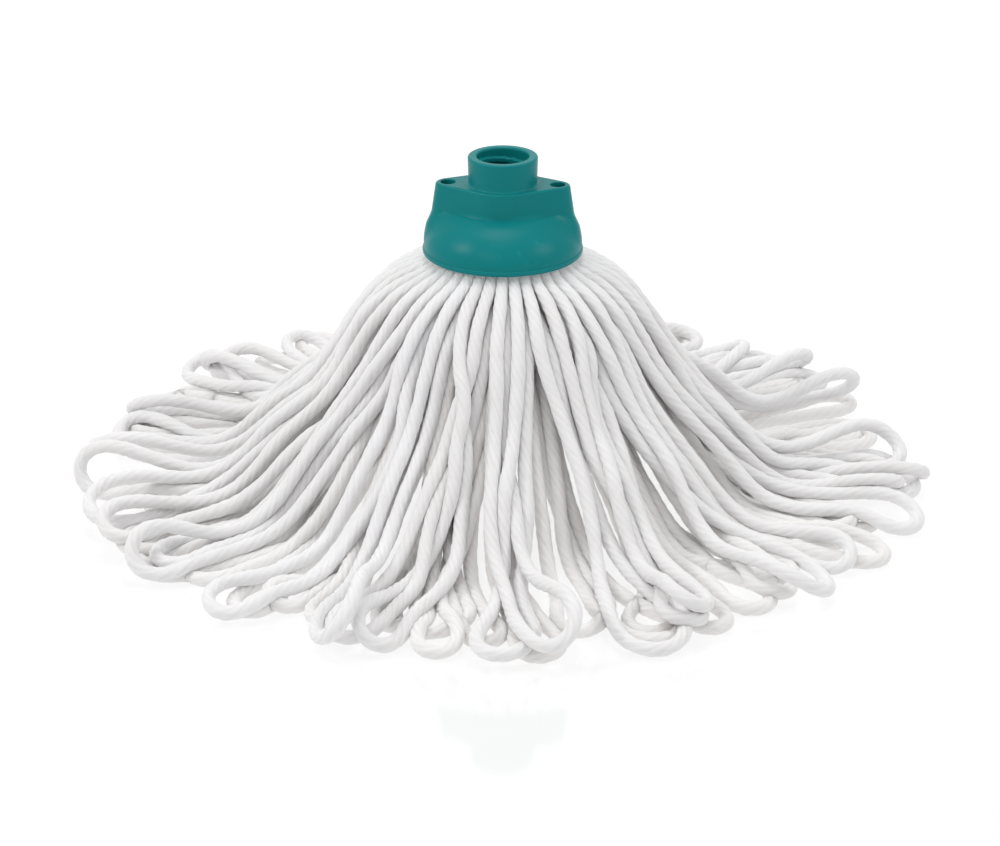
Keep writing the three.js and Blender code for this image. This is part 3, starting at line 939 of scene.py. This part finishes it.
    def settle(self, lines: np.ndarray, length: np.ndarray) -> np.ndarray:
        """Lets the loops settle: each keeps its length and its soft bends, and none lies in another.

        Args:
            lines: (loops, nodes, 3), before they settle.
            length: Each loop's length.

        Returns:
            The settled lines.
        """
        home = lines.copy()
        place = lines.copy()
        loops, nodes, _ = lines.shape
        step = (length / (nodes - 1))[:, None, None]
        index = np.arange(nodes)
        from_end = np.minimum(index, index[::-1])[None, :] * step[..., 0]
        girth = self.girth(from_end, self.pressed)
        pull = self.neck_hold * (1 - smooth_step(from_end, *self.neck_hold_over)) + self.hold
        pull = pull + self.tip_hold * smooth_step(from_end, *self.tip_hold_over)
        fall = self.fall * smooth_step(from_end, *self.fall_over)
        beside = self.bend_span // 2
        tip = smooth_step(from_end, *self.tip_over)[:, beside:-beside, None]
        straight = (self.run_bend - self.tip_bend * tip) * self.bend_span * step
        owner, seat = np.divmod(np.arange(loops * nodes), nodes)
        flat_girth = girth.ravel()
        total, held = loops * nodes, self.ends_held
        for turn in range(self.rounds):
            if turn % 4 == 0:
                first, second = cell_pairs(place.reshape(-1, 3), self.diameter * self.search)
                apart = (owner[first] != owner[second]) | (np.abs(seat[first] - seat[second]) > 3)
                first, second = first[apart], second[apart]
            place += (home - place) * pull[..., None]
            place[..., 2] -= fall
            self.iron(place, self.evenness)
            self.keep_apart(place, straight)
            for phase in (0, 1, 0, 1):
                self.keep_step(place, phase, step)
            flat = place.reshape(total, 3)
            gap = flat[first] - flat[second]
            distance = np.linalg.norm(gap, axis=1) + 1e-9
            short = flat_girth[first] + flat_girth[second] - distance
            touching = short > 0
            push = gap[touching] / distance[touching, None] * short[touching, None] * 0.5
            a, b = first[touching], second[touching]
            crowd = np.bincount(a, minlength=total) + np.bincount(b, minlength=total)
            for axis in range(3):
                moved = np.bincount(a, push[:, axis], total) - np.bincount(b, push[:, axis], total)
                flat[:, axis] += self.push_share * moved / np.maximum(crowd, 1)
            place = flat.reshape(loops, nodes, 3)
            self.stay_clear(place, girth)
            place[:, :held] = home[:, :held]
            place[:, -held:] = home[:, -held:]
        for _ in range(self.ironing):
            self.iron(place, self.ironing_share)
            place[..., 2] = np.maximum(place[..., 2], self.diameter / 2 + self.lift)
        return place

    def iron(self, place: np.ndarray, share: float) -> None:
        """Takes kinks out, in place: each node moves towards the cubic through its four neighbours."""
        even = (4 * (place[:, 1:-3] + place[:, 3:-1]) - place[:, :-4] - place[:, 4:]) / 6
        place[:, 2:-2] += share * (even - place[:, 2:-2])

    def keep_step(self, place: np.ndarray, phase: int, step: np.ndarray) -> None:
        """Brings every second segment of each loop back to its length, in place."""
        count = (place.shape[1] - phase) // 2
        a = place[:, phase:phase + 2 * count:2]
        b = place[:, phase + 1:phase + 2 * count:2]
        gap = b - a
        long = np.linalg.norm(gap, axis=-1, keepdims=True) + 1e-9
        mend = gap * (0.5 * (long - step) / long)
        a += mend
        b -= mend

    def keep_apart(self, place: np.ndarray, least: np.ndarray) -> None:
        """Opens bends that are tighter than the yarn takes: nodes a span apart keep a least distance."""
        span = self.bend_span
        gap = place[:, span:] - place[:, :-span]
        long = np.linalg.norm(gap, axis=-1, keepdims=True) + 1e-9
        mend = gap / long * np.clip(least - long, 0, None) * self.bend_share
        place[:, span:] += mend
        place[:, :-span] -= mend

    def stay_clear(self, place: np.ndarray, girth: np.ndarray) -> None:
        """Holds the loops above the floor, under the rim and inside the skirt's reach, in place."""
        place[..., 2] = np.maximum(place[..., 2], self.diameter / 2 + self.lift)
        radius = np.hypot(place[..., 0], place[..., 1])
        most = self.edge - self.diameter / 2
        shrink = np.minimum(1, most / np.maximum(radius, 1))
        ceiling = self.rim - girth - self.rim_gap
        under_rim = (radius > self.mouth - girth - 0.2) & (place[..., 2] > ceiling)
        place[..., 2] = np.where(under_rim, ceiling, place[..., 2])
        place[..., :2] *= shrink[..., None]

    def frames(self, fine: np.ndarray) -> tuple[np.ndarray, np.ndarray]:
        """Two directions across each line at each ring, carried along it without twisting.

        Args:
            fine: (loops, rings, 3).

        Returns:
            The two directions, each (loops, rings, 3).
        """
        along = np.gradient(fine, axis=1)
        along /= np.linalg.norm(along, axis=-1, keepdims=True)
        across = np.empty_like(along)
        held = np.cross(along[:, 0], [0.0, 0.0, 1.0]) + 1e-6
        for ring in range(fine.shape[1]):
            held = held - (held * along[:, ring]).sum(-1, keepdims=True) * along[:, ring]
            held /= np.linalg.norm(held, axis=-1, keepdims=True)
            across[:, ring] = held
        return across, np.cross(along, across)

    def skin(self, fine: np.ndarray, draws: np.random.Generator) -> tuple[np.ndarray, dict]:
        """Wraps lines in plied yarn: a ring of lobes at each step, turned on by the twist.

        Args:
            fine: (loops, rings, 3).
            draws: The source of each loop's slubs and tone.

        Returns:
            The surface (loops, rings, sides, 3) and its attributes at the same places.
        """
        loops, rings, _ = fine.shape
        sides = self.plies * self.sides_per_ply
        across, up = self.frames(fine)
        steps = np.linalg.norm(np.diff(fine, axis=1), axis=-1)
        along = np.concatenate([np.zeros((loops, 1)), np.cumsum(steps, 1)], 1)
        end = np.minimum(along, along[:, -1:] - along)
        slub = np.zeros_like(along)
        for wave in self.slub_waves:
            slub += self.slub * np.sin(along / wave * 2 * np.pi + draws.uniform(0, 7, (loops, 1)))
        girth = self.girth(end, self.pressed_look) * self.fluff * (1 + slub)
        side = np.arange(sides) * 2 * np.pi / sides
        lobe = np.abs(np.sin(side * self.plies / 2)) ** 0.7
        shape = (loops, rings, sides)
        deep = self.ply_core + self.ply_depth * lobe + self.roughness * draws.normal(0, 1, shape)
        pitch = self.ply_pitch * draws.uniform(0.9, 1.12, (loops, 1))
        twist = -along / pitch * 2 * np.pi + draws.uniform(0, 7, (loops, 1))
        angle = (side[None, None] + twist[..., None])[..., None]
        radius = girth[..., None] * deep
        ring = radius[..., None] * (np.cos(angle) * across[:, :, None] + np.sin(angle) * up[:, :, None])
        apart = (along + 500 * np.arange(loops)[:, None])[..., None]
        reach = self.diameter / 2
        lay = [np.broadcast_to(part, shape) for part in (reach * np.cos(side), reach * np.sin(side), apart)]
        # painted shade: deepest in the valleys between the ply lobes, where the yarn's colour darkens
        groove_shade = np.broadcast_to((1 - lobe) ** 1.5, shape)
        tone = np.broadcast_to(draws.uniform(0, 1, (loops, 1, 1)), shape)
        return fine[:, :, None] + ring, {"lay": np.stack(lay, -1), "groove_shade": groove_shade, "tone": tone}

    def piece(self, name: str, surface: np.ndarray, attributes: dict) -> bpy.types.Object:
        """One object from one or more skinned loops.

        Args:
            name: The object's name.
            surface: (loops, rings, sides, 3).
            attributes: Values at the same places.

        Returns:
            The object.
        """
        points, quads, triangles, kept = [], [], [], {key: [] for key in attributes}
        start = 0
        for k in range(len(surface)):
            flat, faces, fans = closed_grid(surface[k])
            points.append(flat)
            quads.append(faces + start)
            triangles.append(fans + start)
            start += len(flat)
            for key, values in attributes.items():
                grid = values[k].reshape(-1, *values.shape[3:])
                kept[key].append(np.concatenate([grid, grid[:1], grid[-1:]]))
        joined = {key: np.concatenate(parts) for key, parts in kept.items()}
        return put_mesh(name, np.vstack(points), np.vstack(quads), np.vstack(triangles), joined)

    def build(self) -> list[bpy.types.Object]:
        """Makes, settles and dresses every loop.

        Returns:
            The pieces.
        """
        draws = np.random.default_rng(self.seed)
        outer = draws.uniform(*self.loop_lengths, self.outer_loops).round()
        inner = draws.uniform(*self.inner_lengths, self.inner_loops)
        lines = np.concatenate([
            self.shape_loops(outer, draws, inner=False),
            self.shape_loops(inner, draws, inner=True),
        ])
        settled = self.settle(lines, np.concatenate([outer, inner]))
        rings = int(self.loop_lengths[1] / self.ring_step)
        fine = spline(settled, rings)
        surface, attributes = self.skin(fine, draws)
        made = []
        for k in range(self.outer_loops):
            own = {key: values[k:k + 1] for key, values in attributes.items()}
            loop = self.piece(f"outer_loop_{k + 1:02d}", surface[k:k + 1], own)
            Finish.YARN.dress(loop)
            self.place_outer(loop, k, fine[k])
            made.append(loop)
        groups = np.array_split(np.arange(self.outer_loops, len(lines)), self.inner_groups)
        for number, members in enumerate(groups):
            own = {key: values[members] for key, values in attributes.items()}
            strands = self.piece(f"inner_strands_{number + 1}", surface[members], own)
            Finish.INNER.dress(strands)
            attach(strands, "head")
            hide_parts("strand_core")
            made.append(strands)
        return made

    def place_outer(self, loop: bpy.types.Object, number: int, centre: np.ndarray) -> None:
        """Args:
            loop: The loop's object.
            number: Its number round the mop, from 0.
            centre: Its centreline in millimetres.
        """
        tuft, seat = divmod(number, self.loops_per_tuft)
        angle = math.radians((tuft + 0.5) * 360 / self.tufts)
        outward = np.array([math.cos(angle), math.sin(angle), 0])
        start, end = (outward * (self.mouth + out) + np.array([0, 0, self.rim + up])
                      for out, up in (self.blend_start, self.blend_end))
        tuple(start * MM)
        tuple(end * MM)
        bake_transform(loop)
        stands_for = {0: 1, 2: 2, 4: 3}.get(seat)
        if stands_for:
            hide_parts(f"strand_loop_{3 * tuft + stands_for:02d}")
        path = centre[::2] * MM


# ---------------------------------------------------------------- inside the cap


@dataclass
class HankFold:
    """The folded middle of the hank: ridges of yarn that cross over the bar and fill the chamber."""

    clearance: float = 0.3
    crown_radius: float = 20.0
    ridge_pitch: float = 4.6
    ridge_height: float = 0.9
    columns: int = 160

    def build(self) -> bpy.types.Object:
        """Makes and dresses the fold.

        Returns:
            The fold, which stands for the frame's yarn_fold.
        """
        low, high = (np.array(corner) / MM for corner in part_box("yarn_fold"))
        reach, top, bottom = high[0] - self.clearance, high[2] - self.ridge_height, low[2]
        angle = full_turn(self.columns)
        under = line((1.0, bottom), (reach, bottom), 10)
        bow = np.linspace(0.05, np.pi / 2, 18)
        crown = np.stack([reach - (reach - self.crown_radius) * (1 - np.cos(bow)),
                          bottom + (top - bottom) * np.sin(bow)], -1)
        over = line((self.crown_radius - 1, top), (1.0, top), 24)
        profile = np.vstack([under, crown, over])
        radius, height = profile[:, :1], profile[:, 1:]
        x, y = radius * np.cos(angle), radius * np.sin(angle)
        ridge = self.ridge_height * np.abs(np.cos(np.pi * x / self.ridge_pitch)) ** 0.6
        lifted = np.where(height > bottom + 0.5, height + ridge, height)
        flat, quads, triangles = closed_grid(np.stack([x, y, lifted], -1))
        # painted shade: the valleys between the fold's ridges, which the yarn's colour darkens
        groove_shade = np.concatenate([(1 - ridge / self.ridge_height).ravel(), [0.0, 0.0]])
        attributes = {"lay": flat * (1, 1, 4), "groove_shade": groove_shade, "tone": 0 * groove_shade}
        fold = put_mesh("hank_fold", flat, quads, triangles, attributes)
        Finish.INNER.dress(fold)
        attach(fold, "head")
        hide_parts("yarn_fold")
        return fold


def dress_hardware() -> list[bpy.types.Object]:
    """Gives the bar and its screws their finishes; their shapes are the frame's own.

    Returns:
        The three nodes.
    """
    nodes = frame["nodes"]
    Finish.BAR.dress(nodes["yarn_bar"])
    for name in ("bar_screw_left", "bar_screw_right"):
        Finish.SCREW.dress(nodes[name])
    return [nodes[name] for name in ("yarn_bar", "bar_screw_left", "bar_screw_right")]


# ---------------------------------------------------------------- studio


@dataclass(frozen=True)
class SoftBox:
    """A square lamp that faces the cap."""

    name: str
    place: tuple[float, float, float]
    size: float
    power: float
    colour: tuple[float, float, float] = (1.0, 1.0, 1.0)
    aim: tuple[float, float, float] = (0.0, 0.0, 0.08)

    def hang(self) -> None:
        """Puts the lamp in its place."""
        data = bpy.data.lights.new(self.name, "AREA")
        data.shape = "SQUARE"
        data.size, data.energy, data.color = self.size, self.power, self.colour
        lamp = bpy.data.objects.new(self.name, data)
        lamp.location = self.place
        lamp.rotation_euler = (Vector(self.aim) - Vector(self.place)).to_track_quat("-Z", "Y").to_euler()
        bpy.context.scene.collection.objects.link(lamp)


@dataclass
class Studio:
    """A white floor, soft light from above and both sides, and the camera in front."""

    distance: float = 1.090
    height: float = 0.498
    pitch: float = 23.5
    turn: float = 4.8
    side: float = -0.0012
    lens: float = 96.4
    floor_size: float = 24.0
    floor_gap: float = 0.0002
    panel_size: tuple[float, float] = (5.0, 3.0)
    panel_place: tuple[float, float, float] = (-0.25, 2.9, 1.6)
    surround: float = 0.53
    lamps: tuple[SoftBox, ...] = (
        SoftBox("key", (-1.4, -0.55, 1.3), 0.35, 9.0, (1.0, 0.99, 0.98)),
        SoftBox("fill", (1.5, -0.3, 1.2), 0.5, 6.5, (0.98, 0.99, 1.0)),
        SoftBox("front", (-0.55, -1.35, 1.25), 0.3, 2.0),
        SoftBox("top", (-0.1, 0.1, 1.9), 0.9, 10.0),
    )

    def sheet(self, finish: Finish, size: float, place: tuple, tilt: float, stretch: tuple) -> None:
        """Puts up a flat sheet of the studio, named for its finish.

        Args:
            finish: Its finish.
            size: The side of the square that it starts as.
            place: Its centre.
            tilt: Its angle from level, about X.
            stretch: How much longer than the square it is along its own X and Y.
        """
        bpy.ops.mesh.primitive_plane_add(size=size, location=place, rotation=(tilt, 0, 0))
        made = bpy.context.object
        made.name = finish.name.lower()
        made.scale = (*stretch, 1.0)
        finish.dress(made)

    def camera(self) -> None:
        """Stands the camera in front, looking down at the skirt."""
        data = bpy.data.cameras.new("camera")
        data.lens = self.lens
        data.sensor_width = 36.0
        data.clip_end = 40.0
        seen = bpy.data.objects.new("camera", data)
        turn = Matrix.Rotation(math.radians(self.turn), 4, "Z")
        place = Matrix.Translation((self.side, -self.distance, self.height))
        tilt = Matrix.Rotation(math.radians(90 - self.pitch), 4, "X")
        seen.matrix_world = turn @ place @ tilt
        bpy.context.scene.collection.objects.link(seen)
        bpy.context.scene.camera = seen

    def build(self) -> None:
        """Puts up the floor, just under the object, the panel, the camera, the lamps and the sky."""
        self.sheet(Finish.FLOOR, self.floor_size, (0, 0, -self.floor_gap), 0, (1.0, 1.0))
        self.sheet(Finish.PANEL, 1.0, self.panel_place, math.pi / 2, self.panel_size)
        self.camera()
        for lamp in self.lamps:
            lamp.hang()
        world = bpy.data.worlds.new("studio")
        world.use_nodes = True
        background = world.node_tree.nodes["Background"]
        background.inputs["Color"].default_value = (1.0, 1.0, 1.0, 1.0)
        background.inputs["Strength"].default_value = self.surround
        bpy.context.scene.world = world
        bpy.context.scene.view_settings.view_transform = "Standard"


def main() -> None:
    """Builds the mop head in its studio and reports each piece."""
    logging.basicConfig(level=logging.INFO, format="%(name)s: %(message)s")
    Studio().build()
    made = [SocketCap().build(), HankFold().build(), *dress_hardware(), *YarnHank().build()]
    for piece in made:
        log.info("%s has %d faces", piece.name, len(piece.data.polygons))
    bpy.context.view_layer.update()


if __name__ == "__main__":
    main()
